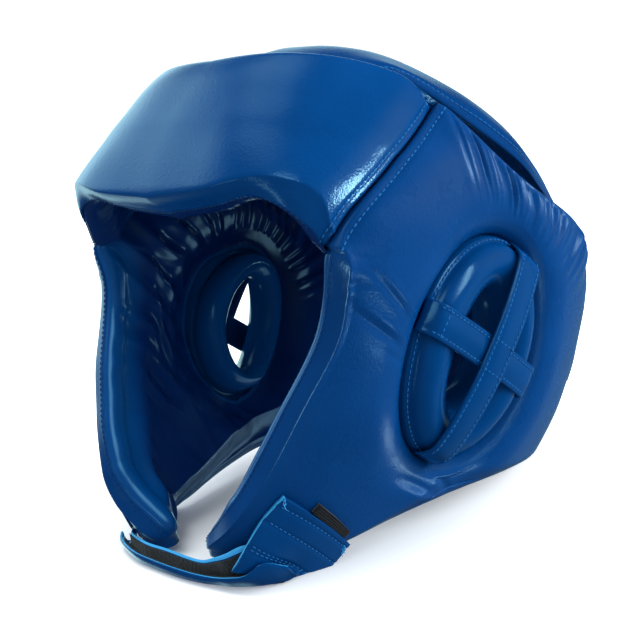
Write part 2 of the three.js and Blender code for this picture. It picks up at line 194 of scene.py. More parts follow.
# Closed mesh from rings of points in one or more skins: wrapped on itself, or capped at both ends
def grid_piece(name, rings, wrapped, *skins):
    count, around = rings.shape[:2]
    i = np.arange(count if wrapped else count - 1)[:, None]
    j = np.arange(around)[None, :]
    ahead, across = (i + 1) % count * around, (j + 1) % around
    faces = np.stack([i * around + j, i * around + across, ahead + across, ahead + j], -1)
    faces = faces.reshape(-1, 4).tolist()
    if not wrapped:
        faces += [list(range(around)), list(range((count - 1) * around, count * around))]
    mesh = bpy.data.meshes.new(name)
    mesh.from_pydata((rings.reshape(-1, 3) * MM).tolist(), [], faces)
    shape = bmesh.new()
    shape.from_mesh(mesh)
    bmesh.ops.recalc_face_normals(shape, faces=shape.faces)
    shape.to_mesh(mesh)
    shape.free()
    mesh.shade_smooth()
    for skin in skins:
        mesh.materials.append(skin)
    piece = linked(name, mesh)
    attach(piece, "root")
    return piece


# Put the second skin of a piece on the faces at some steps round its first rings
def second_skin(piece, rings, around, steps):
    for face in piece.data.polygons[: rings * around]:
        if face.index % around in steps:
            face.material_index = 1


# Slow uneven swelling of a filled cover, from -1 to 1 at each point
def swell(points, size):
    flat = points.reshape(-1, 3) / size
    return np.array([noise.noise(Vector(p)) for p in flat]).reshape(points.shape[:-1])


def linear(code):
    parts = [int(code[k : k + 2], 16) / 255 for k in (1, 3, 5)]
    return [c / 12.92 if c <= 0.04045 else ((c + 0.055) / 1.055) ** 2.4 for c in parts] + [1]


def add_node(tree, kind, inputs={}, **settings):
    made = tree.nodes.new(kind)
    for key, value in settings.items():
        setattr(made, key, value)
    for socket, value in inputs.items():
        if isinstance(value, bpy.types.NodeSocket):
            tree.links.new(value, made.inputs[socket])
        else:
            made.inputs[socket].default_value = value
    return made


# New material with an empty node tree, and the place of each point on its piece
def blank_material(name):
    material = bpy.data.materials.new(name)
    material.use_nodes = True
    tree = material.node_tree
    tree.nodes.clear()
    return material, tree, add_node(tree, "ShaderNodeTexCoord").outputs["Object"]


# Cloudy share from 0 to 1 over a piece
def cloud(tree, place, scale, detail=2):
    made = add_node(tree, "ShaderNodeTexNoise", {"Vector": place, "Scale": scale, "Detail": detail})
    return made.outputs["Fac"]


# One colour running into another by a share
def blend(tree, part, first, second):
    mix = add_node(tree, "ShaderNodeMix", {"Factor": part, 6: first, 7: second}, data_type="RGBA")
    return mix.outputs[2]


# Normal bent by a height, down to a depth in millimetres
def bumped(tree, height, strength, deep):
    bump = add_node(tree, "ShaderNodeBump", {"Height": height, "Strength": strength, "Distance": deep * MM})
    return bump.outputs["Normal"]


def surface(tree, inputs):
    skin = add_node(tree, "ShaderNodeBsdfPrincipled", inputs)
    add_node(tree, "ShaderNodeOutputMaterial", {"Surface": skin.outputs["BSDF"]})


# Coated leather: polyurethane skin, embossed with a fine pebble grain, that shines in soft broad patches.
# The grain is about 0.5 mm on the real skin, and is drawn at 1 mm so that it shows in the highlights.
def coated_leather(name, deep, light, grain_mm, grain_depth, gloss, shine, painted_cheek_light=None):
    material, tree, place = blank_material(name)
    grain = 1 / (grain_mm * MM)
    pebble = add_node(tree, "ShaderNodeTexVoronoi", {"Vector": place, "Scale": grain})
    crumb = cloud(tree, place, 0.4 * grain, 3)
    tone = cloud(tree, place, 30, 4)
    colour = blend(tree, tone, linear(deep), linear(light))
    # Painted light: where a piece carries a share, a paler colour is blended in over the leather's own
    if painted_cheek_light:
        cheek_light_share = add_node(tree, "ShaderNodeAttribute", attribute_name="painted_cheek_light")
        colour = blend(tree, cheek_light_share.outputs["Fac"], colour, linear(painted_cheek_light))
    dulled = {"Value": tone, "To Min": gloss - 0.05, "To Max": gloss + 0.07}
    polish = add_node(tree, "ShaderNodeMapRange", dulled)
    height = add_node(tree, "ShaderNodeMath", {0: pebble.outputs["Distance"], 1: crumb})
    surface(tree, {
        "Base Color": colour,
        "Roughness": polish.outputs["Result"],
        "Normal": bumped(tree, height.outputs[0], 0.3, grain_depth),
        "IOR": 1.5,
        "Specular IOR Level": shine,
        "Specular Tint": (0.55, 0.9, 1, 1),
    })
    return material


blue_leather = coated_leather("coated_leather_blue", "#003368", "#00407D", 1.0, 0.2, 0.18, 0.35)
# Creased leather: the same skin on the side pads, worked soft by the folds and duller for it.
soft_leather = coated_leather("coated_leather_soft", "#002F63", "#003B77", 1.0, 0.2, 0.27, 0.16)
# Stretched leather: the same skin pulled tight over foam, smoother and shinier.
tight_leather = coated_leather("coated_leather_tight", "#002F60", "#003B75", 0.8, 0.07, 0.15, 0.28)
# Lining leather: thin smooth skin on the inside that folds softly. Its darker blue is painted shade for the
# inside of the guard, and it is paler along the cheek edge as painted light where light comes in at the face
# opening.
lining_leather = coated_leather(
    "coated_leather_lining", "#001A4C", "#002660", 0.8, 0.07, 0.24, 0.5, "#00417E"
)


# Thread: twisted polyester with a low sheen, paler than the leather where it shows, darker in the seams.
def twisted_thread(name, dark, light):
    material, tree, place = blank_material(name)
    ply, twist = cloud(tree, place, 0.4 / MM), cloud(tree, place, 2 / MM)
    surface(tree, {
        "Base Color": blend(tree, ply, linear(dark), linear(light)),
        "Normal": bumped(tree, twist, 0.4, 0.1),
        "Roughness": 0.5,
        "Specular IOR Level": 0.15,
    })
    return material


pale_thread = twisted_thread("polyester_thread_pale", "#094689", "#2C82C8")
dark_thread = twisted_thread("polyester_thread_dark", "#03264F", "#0B4C90")

# Geometry Nodes tree that lays one short strand of thread at every step along its lines
sewing = bpy.data.node_groups.new("stitch_row", "GeometryNodeTree")
asked = {"Lines": "Geometry", "Pitch": "Float", "Length": "Float", "Thickness": "Float", "Thread": "Material"}
for label, kind in asked.items():
    sewing.interface.new_socket(label, in_out="INPUT", socket_type="NodeSocket" + kind)
sewing.interface.new_socket("Stitches", in_out="OUTPUT", socket_type="NodeSocketGeometry")
given = add_node(sewing, "NodeGroupInput")
curve = add_node(sewing, "GeometryNodeMeshToCurve", {"Mesh": given.outputs["Lines"]})
spaced = {"Curve": curve.outputs["Curve"], "Length": given.outputs["Pitch"]}
steps = add_node(sewing, "GeometryNodeResampleCurve", spaced, mode="LENGTH")
tangent = add_node(sewing, "GeometryNodeInputTangent").outputs["Tangent"]
heading = add_node(sewing, "FunctionNodeAlignRotationToVector", {"Vector": tangent}, axis="Z")
thick = given.outputs["Thickness"]
size = add_node(sewing, "ShaderNodeCombineXYZ", {"X": thick, "Y": thick, "Z": given.outputs["Length"]})
strand = add_node(sewing, "GeometryNodeMeshUVSphere", {"Segments": 6, "Rings": 5, "Radius": 0.5})
rounded = add_node(sewing, "GeometryNodeSetShadeSmooth", {"Geometry": strand.outputs["Mesh"]})
laid = add_node(sewing, "GeometryNodeInstanceOnPoints", {
    "Points": steps.outputs["Curve"],
    "Instance": rounded.outputs["Geometry"],
    "Rotation": heading.outputs["Rotation"],
    "Scale": size.outputs["Vector"],
})
real = add_node(sewing, "GeometryNodeRealizeInstances", {"Geometry": laid.outputs["Instances"]})
dye = {"Geometry": real.outputs["Geometry"], "Material": given.outputs["Thread"]}
dyed = add_node(sewing, "GeometryNodeSetMaterial", dye)
add_node(sewing, "NodeGroupOutput", {"Stitches": dyed.outputs["Geometry"]})


# Rows of stitches along lines of points, as one plain mesh
def sew(name, lines, pitch=3.0, length=2.3, thickness=0.75, thread=pale_thread):
    points = np.concatenate(lines) * MM
    points[:, 2] = np.maximum(points[:, 2], thickness / 2 * MM)
    edges, start = [], 0
    for line in lines:
        edges += [(start + k, start + k + 1) for k in range(len(line) - 1)]
        start += len(line)
    guide = bpy.data.meshes.new(name + "_guide")
    guide.from_pydata(points.tolist(), edges, [])
    row = linked(name, guide)
    nodes = row.modifiers.new("sewing", "NODES")
    nodes.node_group = sewing
    sizes = {"Pitch": pitch, "Length": length, "Thickness": thickness}
    for item in sewing.interface.items_tree:
        if item.name in sizes:
            nodes[item.identifier] = sizes[item.name] * MM
        elif item.name == "Thread":
            nodes[item.identifier] = thread
    row.update_tag()
    scene_state = bpy.context.evaluated_depsgraph_get()
    row.data = bpy.data.meshes.new_from_object(row.evaluated_get(scene_state))
    row.data.name = name
    row.modifiers.clear()
    bpy.data.meshes.remove(guide)
    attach(row, "root")
    return row


# Outward direction at each point of a grid of rings
def outward(rings):
    ahead = np.roll(rings, -1, 0) - np.roll(rings, 1, 0)
    around = np.roll(rings, -1, 1) - np.roll(rings, 1, 1)
    out = np.cross(ahead, around)
    out /= np.maximum(np.linalg.norm(out, axis=-1, keepdims=True), 1e-9)
    middle = rings.mean(1, keepdims=True)
    return out * np.sign(np.sum(out * (rings - middle), (-1, -2)).mean())


# Groove that a row of stitches pulls into the leather, by the distance from its seam
def groove(distance):
    return 0.5 * bell(distance - STITCH_IN, 1.1)


# Stations from temple to temple, and steps over the cover or the lining, the upper rim and the brow fold
STATIONS, FACE_STEPS, ROLL_STEPS, FOLD_STEPS = 221, 44, 20, 72
# Steps of the brow fold at which the lining ends, the strip is sewn and the strip starts
LINING_END, STRIP_SEWN, STRIP_START = 36, 41, 44
# Stitches of the folded strips, which hardly show
STRIP_SEWING = {"pitch": 2.8, "length": 1.9, "thickness": 0.5, "thread": dark_thread}
share = np.linspace(-1, 1, STATIONS)
across = (share * (1.5 - 0.5 * share**2))[:, None]
low = along(BROW, "u", "low", np.abs(across))
tall = along(BROW, "u", "high", np.abs(across)) - low
temple = smooth((np.abs(across) - 0.5) / 0.38)
end_share = 1 - 0.4 * smooth((np.abs(across) - 0.86) / 0.14)
mid_m, mid_depth, temple_m, temple_depth = profile(BROW_FOLD, FOLD_STEPS)
fold_m = mid_m * (1 - temple) + temple_m * temple * end_share
fold_depth = mid_depth * (1 - temple) + temple_depth * temple
roll_m, roll_depth = profile(RIM_ROLL, ROLL_STEPS)
face_run = np.linspace(0, 1, FACE_STEPS + 2)[None, 1:-1]
crease = fold_m[:, -1:]
cover_top, lining_top = tall + RIM_ROLL["m"][0], tall + RIM_ROLL["m"][-1]
cover_m = between(crease, cover_top, face_run**1.15)
cover_depth = RIM_ROLL["depth"][0] * fade(cover_top - cover_m, 16)
cover_depth = cover_depth + fold_depth[:, -1:] * fade(cover_m - crease, 12)
lining_m = between(lining_top, fold_m[:, :1], face_run)
rim_back = RIM_ROLL["depth"][-1]
lining_depth = between(rim_back, fold_depth[:, :1], smooth((lining_top - lining_m) / 24))
m = np.concatenate([cover_m, tall + roll_m, lining_m, fold_m], 1)
depth = np.concatenate([cover_depth, roll_depth + 0 * tall, lining_depth, fold_depth], 1)
columns = m.shape[1]
fold_start = 2 * FACE_STEPS + ROLL_STEPS
lining_end = fold_start + LINING_END
outside = np.ones(columns)
outside[FACE_STEPS + ROLL_STEPS // 2 : lining_end] = 0
from_seam = (1 - np.abs(across)) * 100
dip = SEAM_DIP * fade(from_seam, SEAM_REACH)
dip = dip + groove(from_seam) + 1.2 * fade(from_seam, 1.2)
depth = depth + dip * outside
# Gathers where the lining is sewn to the strip
gather = np.zeros(columns)
gather[fold_start - 26 : fold_start + 32] = np.hanning(58)
wave = np.sin(across * 58 + 2.1 * np.sin(across * 13)) * (0.75 + 0.25 * np.sin(across * 31))
wave = wave + 0.4 * np.sin(across * 97 + 0.9)
depth = depth - 1.1 * wave * gather * np.clip(from_seam / 12, 0, 1)
z = low + m
phi = across * along(SEAM, "z", "phi", z)
place = inside(phi, z, depth)
depth = depth + 0.5 * swell(place, 34) * outside + 0.7 * swell(place, 22) * (1 - outside)
front_rings = rested(inside(phi, z, depth))
front_pad = grid_piece("front_pad_cover", front_rings, False, blue_leather, lining_leather)
lining_start = FACE_STEPS + 14
second_skin(front_pad, STATIONS - 1, columns, range(lining_start, lining_end))
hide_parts("front_pad")
raised = front_rings + 0.2 * outward(front_rings)
sewn = int(np.argmin(np.abs(from_seam[: STATIONS // 2, 0] - STITCH_IN)))
rows = [
    np.concatenate([raised[k, fold_start + STRIP_START :], raised[k, : FACE_STEPS + 4]])
    for k in (sewn, STATIONS - 1 - sewn)
]
sew("front_pad_stitches", rows)
sew("brow_stitches", [raised[3:-3, fold_start + STRIP_SEWN]], **STRIP_SEWING)

# Side pads: one wide foam cushion for each side, in the same leather, sewn to the front pad at the temple.
# It goes from there round the ear to the nape and has a cheek tongue, with a flat strip like the brow's along
# its face edge and gathers above and behind the ear.
EAR = {"phi": 84.5, "z": 85, "half": 40, "tall": 56.5, "tilt": math.radians(3)}
# Shell radius round the ear, to turn its angles into millimetres
EAR_RADIUS = 104
# Outline of the pad in runs: angle, worn height, angle on the ear oval that it faces, and bow of the spokes
# between the two. The hem's height is given over the floor.
RIM = table(
    "phi z ear bow",
    (178, 166, -84, 1),
    (150, 166.5, -66, 1),
    (125, 168, -48, 1),
    (100, 169.5, -25, 1),
    (84, 174, -5, 1),
    (68, 182, 15, 1),
    (57, 189.5, 32, 1),
)
FACE = table(
    "phi z ear bow",
    (41.6, 106, 62, 1),
    (42.5, 76, 86, 1),
    (38, 37, 112, 1),
    (32, 3, 130, 1.2),
    (24, -17, 142, 1.5),
    (13, -29, 150, 1.7),
)
HEM = table(
    "phi z ear bow",
    (12, 9, 156, 1.7),
    (26, 8, 161, 1.5),
    (42, 6, 167, 1.3),
    (56, 4, 174, 1.1),
    (78, 7, 186, 1),
    (103, 8, 206, 1),
    (128, 3, 230, 1),
    (146, -2.5, 248, 1),
    (178, -2.5, 268, 1),
)
# Edges of the pad from its cover round to its lining: way out from the outline, and depth
SEAM_ROLL = table(
    "m depth",
    (-5, 2.8), (-2.6, 3.6), (-1.2, 4.1), (-0.3, 5),
    (0, 7), (0, 10.4), (-0.4, 13.6), (-2, 15),
)
FACE_FOLD = table(
    "m depth",
    (-8.4, -0.4), (-6.4, -0.9), (-5.4, -0.9), (-4.5, -0.2), (-1.4, 2.2), (1.8, 4.6),
    (2.7, 5.5), (2.4, 6.5), (3.8, 8.4), (3.9, 11), (2, 13.6), (-3, 15.8),
)
TIP_ROLL = table(
    "m depth",
    (-11, 1.2), (-7.6, 1.8), (-4.4, 2.9), (-1.6, 4.6),
    (0, 7.4), (-0.8, 10), (-3.2, 12), (-7, 13.2),
)
HEM_ROLL = table(
    "m depth",
    (-7, 2.8), (-4.8, 3.4), (-2.3, 4.6), (-0.6, 6.4),
    (0, 8.4), (-0.6, 10.4), (-2.3, 12.2), (-4.8, 13.3),
)
REAR_ROLL = table(
    "m depth",
    (-5, 2), (-3, 2.3), (-1.4, 3.1), (-0.4, 4.6),
    (0, 7), (-0.4, 10), (-1.4, 12), (-3, 13),
)
# Wall of the ear opening from the lining outwards: way in from the oval, and depth
EAR_WALL = table("m depth", (-8, 14), (-11, 13.4), (-4, 13), (0, 12), (0.8, 9), (3.2, 5.8), (6.5, 3.4))
# Dents and creases of the cover: place, depth, length, width and slant from level
DENTS = table(
    "phi z deep long wide turn",
    (53.3, 95, 0.8, 11, 1.8, -38),
    (54, 98, -0.4, 10, 2, -38),
    (52.3, 80.2, 1.1, 13, 2.2, -24),
    (53, 83.6, -0.5, 12, 2.2, -24),
    (57, 71, 0.6, 9, 1.8, -14),
    (44.8, 95, 0.7, 5, 2, 25),
    (44.2, 88, 0.5, 5, 1.8, 15),
    (79, 19, 1.0, 16, 2.4, -6),
    (86, 14.5, -0.6, 18, 2.6, -4),
    (92, 22, 0.8, 10, 2, -18),
    (102, 117, 1.0, 8, 2.2, 62),
    (105, 108, -0.6, 8, 2.4, 62),
    (107, 96, 0.8, 12, 2.2, 76),
)


# Point on an oval round the ear, by its half width, half height and angle from the top
def oval(half, tall_half, angle):
    side, up = half * np.sin(np.radians(angle)), tall_half * np.cos(np.radians(angle))
    z = EAR["z"] + up * math.cos(EAR["tilt"]) + side * math.sin(EAR["tilt"])
    reach = shell(EAR["phi"], z)
    radius = np.hypot(reach[..., 0], reach[..., 1] - AXIS_Y)
    ahead = side * math.cos(EAR["tilt"]) - up * math.sin(EAR["tilt"])
    return EAR["phi"] - np.degrees(ahead / radius), z


# Worn height at which the shell stands a given lift over the floor
def height_at(phi, lift):
    low_z, high_z = np.full(phi.shape, -50.0), np.full(phi.shape, 120.0)
    for _ in range(40):
        mid = (low_z + high_z) / 2
        p = shell(phi, mid)
        over = p[..., 2] * math.cos(PITCH) - p[..., 1] * math.sin(PITCH) - FLOOR_DROP
        low_z, high_z = np.where(over < lift, mid, low_z), np.where(over < lift, high_z, mid)
    return (low_z + high_z) / 2


# Stations along one run of the outline, on a curve through its rows
def run_of(rows, count):
    keyed = dict(rows, i=np.arange(len(rows["phi"]), dtype=float))
    k = np.arange(count) / count * (len(rows["phi"]) - 1)
    return np.stack([along(keyed, "i", column, k) for column in rows], 1)


# Stations on the straight way between two corners of the outline
def line_of(a, b, count):
    return between(a, b, (np.arange(count) / count)[:, None])


HEM["z"] = height_at(HEM["phi"], HEM["z"])
corner = {
    key: np.array([[column[k] for column in rows.values()] for k in (0, -1)])
    for key, rows in (("rim", RIM), ("face", FACE), ("hem", HEM))
}
seam_run = line_of(corner["rim"][1], corner["face"][0], 64)
seam_run[:, 0] = along(SEAM, "z", "phi", seam_run[:, 1]) + 0.3
rear_end = corner["rim"][0] + [0, 0, 360, 0]
parts = [
    ("rim", run_of(RIM, 176), RIM_ROLL),
    ("seam", seam_run, SEAM_ROLL),
    ("face", run_of(FACE, 130), FACE_FOLD),
    ("tip", line_of(corner["face"][1], corner["hem"][0], 16), TIP_ROLL),
    ("hem", run_of(HEM, 170), HEM_ROLL),
    ("rear", line_of(corner["hem"][1], rear_end, 40), REAR_ROLL),
]
outline = np.concatenate([run for _, run, _ in parts])
spokes = len(outline)
span = np.concatenate([[k] * len(run) for k, (_, run, _) in enumerate(parts)])
blur = bell(np.minimum(np.arange(spokes), spokes - np.arange(spokes)), 5.0)
blur /= blur.sum()
weight = {
    name: np.real(np.fft.ifft(np.fft.fft(span == k) * np.fft.fft(blur)))[:, None]
    for k, (name, _, _) in enumerate(parts)
}
edge_phi, edge_z, ear, bow = (outline[:, k : k + 1] for k in range(4))
hole_phi, hole_z = oval(EAR["half"], EAR["tall"], ear)
length = np.linalg.norm(shell(hole_phi, hole_z) - shell(edge_phi, edge_z), axis=-1)
length = np.maximum(length, 14)
# Steps over the cover or the lining, round the outer edge and through the wall of the ear opening
SIDE_STEPS, EDGE_STEPS, WALL_STEPS = 46, 36, 22
run = np.linspace(0, 1, SIDE_STEPS + 2)[None, 1:-1]
edges = [(weight[name], profile(rows, EDGE_STEPS)) for name, _, rows in parts]
edge_m, edge_depth = (sum(part * edge[k] for part, edge in edges) for k in (0, 1))
wall_m, wall_depth = (column + 0 * length for column in profile(EAR_WALL, WALL_STEPS))
cover_ear, lining_ear = wall_m[:, -1:], wall_m[:, :1]
cover_out, lining_out = length + edge_m[:, :1], length + edge_m[:, -1:]
cover_m = between(cover_ear, cover_out, run)
to_edge = fade(cover_out - cover_m, 13 + 5 * weight["seam"])
to_ear = fade(cover_m - cover_ear, 15)
cover_depth = edge_depth[:, :1] * to_edge + wall_depth[:, -1:] * to_ear
lining_m = between(lining_out, lining_ear, run)
lining_in = np.minimum(lining_out - lining_m, lining_m - lining_ear)
lining_depth = between(edge_depth[:, -1:], wall_depth[:, :1], run)
lining_depth = between(lining_depth, PAD_T, smooth(lining_in / 24))
m = np.concatenate([cover_m, length + edge_m, lining_m, wall_m], 1)
depth = np.concatenate([cover_depth, edge_depth, lining_depth, wall_depth], 1)
way = m / length
fall = np.where(way < 0, way, 1 - (1 - np.clip(way, 0, 1)) ** bow)
phi = between(hole_phi, edge_phi, way)
z = between(hole_z, edge_z, fall)
columns = m.shape[1]
cover_end = SIDE_STEPS + EDGE_STEPS // 2
lining_start = SIDE_STEPS + EDGE_STEPS
lining_end = lining_start + SIDE_STEPS
covered = np.zeros(columns)
covered[:SIDE_STEPS] = 1
covered[SIDE_STEPS:cover_end] = np.linspace(1, 0, EDGE_STEPS // 2)
lined = np.zeros(columns)
lined[lining_start - 10 : lining_end + 6] = np.sqrt(np.hanning(SIDE_STEPS + 16))
relief = np.zeros(m.shape)
for dent_phi, dent_z, deep, long, wide, lean in zip(*DENTS.values()):
    turn = math.radians(lean)
    back, up = np.radians(phi - dent_phi) * EAR_RADIUS, z - dent_z
    along_it = back * math.cos(turn) + up * math.sin(turn)
    over_it = up * math.cos(turn) - back * math.sin(turn)
    relief += deep * bell(along_it, long) * bell(over_it, wide)
# Gathers that run from the rim towards the ear, closer together at the rim
pleat = np.sin(ear * 0.83 + 2.2 * np.sin(ear * 0.23)) * (0.6 + 0.4 * np.sin(ear * 0.37 + 1))
pleat = pleat + 0.2 * np.sin(ear * 1.63 + 2 * way)
pulled = smooth((ear + 84) / 40) * smooth((44 - ear) / 26)
relief += 1.8 * pleat * pulled * smooth((way - 0.2) / 0.6) * smooth((0.99 - way) / 0.16)
relief += weight["seam"] * groove(np.clip(length - m, 0, None))
place = inside(phi, z, depth)
relief += 0.35 * swell(place, 40)
depth = depth + relief * covered
# Slack folds of the lining: slanting down and back behind the cheek edge, shallower elsewhere
slack = swell(place, 26)
slant = z + 1.3 * (phi - 42) + 7 * slack
ridge = 2 * np.sqrt(np.sin(slant / 6) ** 2 + 0.06) - 1
behind_face = smooth((74 - phi) / 18) * smooth((z - 10) / 30)
folds = swell(place * [1, 1, 0.6] + place[..., [1, 2, 0]] * 0.5, 15)
full = 2.0 * ridge * behind_face * (0.7 + slack) + 2.4 * np.sqrt(folds**2 + 0.012) - 1.0 * slack
# Short tucks of the lining where it is gathered over the ear pad
tuck = np.sin(ear * 0.8 + 0.8 * np.sin(ear * 0.31)) * (0.75 + 0.25 * np.sin(ear * 0.53))
over_ear = smooth((75 - np.abs(ear + 5)) / 35) * smooth((way - 0.03) / 0.08) * smooth((0.85 - way) / 0.4)
depth = depth - lined * (full + 2.0 * tuck * over_ear)
# The cheek is fullest at its upper corner, where it meets the end of the brow
depth = depth - 2.2 * bell(z - 103, 9) * bell(phi - 41, 4)
side_place = inside(phi, z, depth)
side_place[..., 0] = np.maximum(side_place[..., 0], 1.5)
side_rings = rested(side_place)
sides = (("left", 1), ("right", -1))


# A piece laid out for the left side, put on either side: the right cheek droops on to the floor
def on_side(points, side):
    if side > 0:
        return points
    x, y, z = np.moveaxis(points, -1, 0)
    droop = smooth((52 - z) / 42) * smooth((-88 - y) / 36)
    wider = smooth((44 - x) / 30) * smooth((-88 - y) / 30) * bell(z - 26, 14)
    return np.stack([-x - 5 * droop + 9 * wider, y + 2 * droop, np.maximum(z - 7 * droop, 0)], -1)


lining_seam = SIDE_STEPS + 22
# Painted light on the lining: a share that is full along the face edge of the side pad and fades out a little
# way into the lining, where it takes a paler blue for the light that comes in at the face opening
painted_cheek_light = weight["face"] * smooth((lining_start + 14 - np.arange(columns)) / 12)
for word, side in sides:
    cushion = on_side(side_rings, side)
    piece = grid_piece(word + "_side_pad_cover", cushion, True, soft_leather, lining_leather)
    second_skin(piece, spokes, columns, range(lining_seam, lining_end))
    piece.data.attributes.new("painted_cheek_light", "FLOAT", "POINT").data.foreach_set("value", painted_cheek_light.ravel())
    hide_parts(word + "_side_pad")

seam_spokes = np.flatnonzero(span == 1)
row_m = length[:, 0] - STITCH_IN
top_m, top_depth = m[:, :cover_end], depth[:, :cover_end]
row_depth = np.array([np.interp(row_m[k], top_m[k], top_depth[k]) for k in seam_spokes]) - 0.2
row_way = (row_m / length[:, 0])[seam_spokes]
row_phi = between(hole_phi[seam_spokes, 0], edge_phi[seam_spokes, 0], row_way)
row_z = between(hole_z[seam_spokes, 0], edge_z[seam_spokes, 0], row_way)
temple_row = rested(inside(row_phi, row_z, row_depth))
face_spokes = np.flatnonzero(span == 2)
STRIP_LIP = SIDE_STEPS + 16
cheek_row = (side_rings + 0.2 * outward(side_rings))[face_spokes, STRIP_LIP]
for word, side in sides:
    sew(word + "_side_pad_stitches", [temple_row * [side, 1, 1]])
    sew(word + "_cheek_stitches", [on_side(cheek_row, side)], **STRIP_SEWING)

# Ear pads: a fat foam ring in each ear opening, covered in the same leather, sewn in along its outer edge.
# It stands out further inside the guard than outside, and leaves a narrow oval hole to hear through.
EAR_HOLE = {"half": 12, "tall": 29}
# Section of the ring from its sewn edge round the outside to the inside: share out from the hole, and depth
EAR_RING = table(
    "share depth",
    (0.97, 13), (0.955, 8.6), (0.9, 7.6), (0.86, 7.2), (0.78, 3.6), (0.6, 1.2), (0.4, 1.8), (0.2, 5.2),
    (0.06, 11), (0, 18), (0.05, 24.5), (0.2, 29.5), (0.38, 30), (0.51, 25.5), (0.53, 17), (0.52, 10.4),
)
EAR_ROW = {"share": 0.905, "depth": 7.2}
RING_STEPS, TUBE_STEPS = 200, 72


def ear_spot(ring_share, angle):
    half = between(EAR_HOLE["half"], EAR["half"], ring_share)
    tall_half = between(EAR_HOLE["tall"], EAR["tall"], ring_share)
    return oval(half, tall_half, angle)


ring_rows = np.stack(list(EAR_RING.values()), 1)
looped = np.concatenate([ring_rows[-2:], ring_rows, ring_rows[:3]])
at = (np.linspace(0, 1, TUBE_STEPS, endpoint=False) * len(ring_rows) + 2) / (len(looped) - 1)
ring = through(looped, at)
angle = np.linspace(0, 360, RING_STEPS, endpoint=False)[:, None]
phi, z = ear_spot(ring[None, :, 0], angle)
place = inside(phi, z, ring[None, :, 1] + 0 * phi)
depth = ring[None, :, 1] + 0.5 * swell(place, 20)
ear_rings = rested(inside(phi, z, depth))
for word, side in sides:
    piece = grid_piece(word + "_ear_pad_cover", ear_rings * [side, 1, 1], True, tight_leather)
    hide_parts(word + "_ear_pad")
phi, z = ear_spot(EAR_ROW["share"], np.linspace(0, 360, RING_STEPS))
border = rested(inside(phi, z, EAR_ROW["depth"]))
for word, side in sides:
    sew(word + "_ear_pad_stitches", [border * [side, 1, 1]], pitch=2.8, length=2.0, thickness=0.6)

# Ear straps: two folded leather bands across each ear opening, one over the other, sewn in at their ends.
# They guard the ear and carry a row of stitches along both edges.
EAR_STRAP_W = 16
STRAP_T = 2.4
STRAP_PROUD = 0.9
LAYER_GAP = 0.4
# Rounded section of a strap: share across it, share of its thickness up
STRAP_SECTION = table(
    "w h",
    (0, 0.5), (0.012, 0.78), (0.04, 0.95), (0.09, 0.96), (0.14, 0.9), (0.2, 0.98), (0.35, 1.08),
    (0.5, 1.12), (0.65, 1.08), (0.8, 0.98), (0.86, 0.9), (0.91, 0.96), (0.96, 0.95), (0.988, 0.78),
    (1, 0.5), (0.988, 0.2), (0.95, 0), (0.7, 0), (0.5, 0), (0.3, 0), (0.05, 0), (0.012, 0.2),
)
# Shares across a strap at which its two edge rows are sewn
STRAP_ROWS = (0.13, 0.87)


def ear_strap_spot(start, end, top, t, w, lift):
    a_phi, a_z = oval(EAR["half"] - 0.5, EAR["tall"] - 0.5, start)
    b_phi, b_z = oval(EAR["half"] - 0.5, EAR["tall"] - 0.5, end)
    run_y, run_z = math.radians(b_phi - a_phi) * EAR_RADIUS, b_z - a_z
    norm = math.hypot(run_y, run_z)
    off = (w - 0.5) * EAR_STRAP_W
    phi = between(a_phi, b_phi, t) + np.degrees(-run_z / norm * off / EAR_RADIUS)
    z = between(a_z, b_z, t) + run_y / norm * off
    ends = np.abs(2 * t - 1)
    dip = 3 * ends**4 - STRAP_T - LAYER_GAP if top else 0.6 * ends**4
    dip = dip + 7 * np.clip((ends - 0.84) / 0.16, 0, 1) ** 2
    return rested(inside(phi, z, dip - STRAP_PROUD + STRAP_T - lift))


strap_t = np.linspace(0, 1, 64)[:, None]
run_t = np.linspace(0.05, 0.95, 60)
bar_w = np.linspace(*STRAP_ROWS, 12)
# Name, where each strap starts and ends on the oval, whether it lies on top, and where stitches cross it
straps = (("long", -16.0, 174.0, True, (0.435, 0.565)), ("cross", 84.0, 264.0, False, (0.09,)))
for name, start, end, top, bars in straps:
    lay = (start, end, top)
    rings = ear_strap_spot(*lay, strap_t, STRAP_SECTION["w"][None, :], STRAP_SECTION["h"][None, :] * STRAP_T)
    rows = [ear_strap_spot(*lay, run_t, w, 0.98 * STRAP_T) for w in STRAP_ROWS]
    rows += [ear_strap_spot(*lay, np.full(12, bar_t), bar_w, 1.1 * STRAP_T) for bar_t in bars]
    for word, side in sides:
        piece = grid_piece(f"{word}_ear_strap_{name}_band", rings * [side, 1, 1], False, tight_leather)
        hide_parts(f"{word}_ear_strap_{name}")
        stitched = [row * [side, 1, 1] for row in rows]
        sew(f"{word}_ear_strap_{name}_stitches", stitched, pitch=2.6, length=1.9, thickness=0.6)

# Crown pad: a long thin foam cushion over the top of the head, in the same leather, sewn inside the rim at
# the front and under the tail at the back, with a row of stitches along each edge.
# Stations from front to back: worn place back and up, half width, thickness, and how far its edges hang
CROWN = np.array([
    (-128, 178, 56, 4, 10),
    (-121, 197, 64, 7, 14),
    (-99, 212, 71, 9, 16),
    (-60, 221, 79, 10, 30),
    (-18, 221, 87, 10, 39),
    (20, 214, 79, 10, 38),
    (50, 201, 68, 10, 30),
    (71, 184.5, 58, 8, 17),
    (77, 163, 53, 5, 10),
], float)
CROWN_ROW = 0.93


# Way out from a line of stations, back and up as worn
def out_of(rows, t):
    step = through(rows, np.clip(t + 0.002, 0, 1)) - through(rows, np.clip(t - 0.002, 0, 1))
    long = np.hypot(step[..., 0], step[..., 1])
    return -step[..., 1] / long, step[..., 0] / long


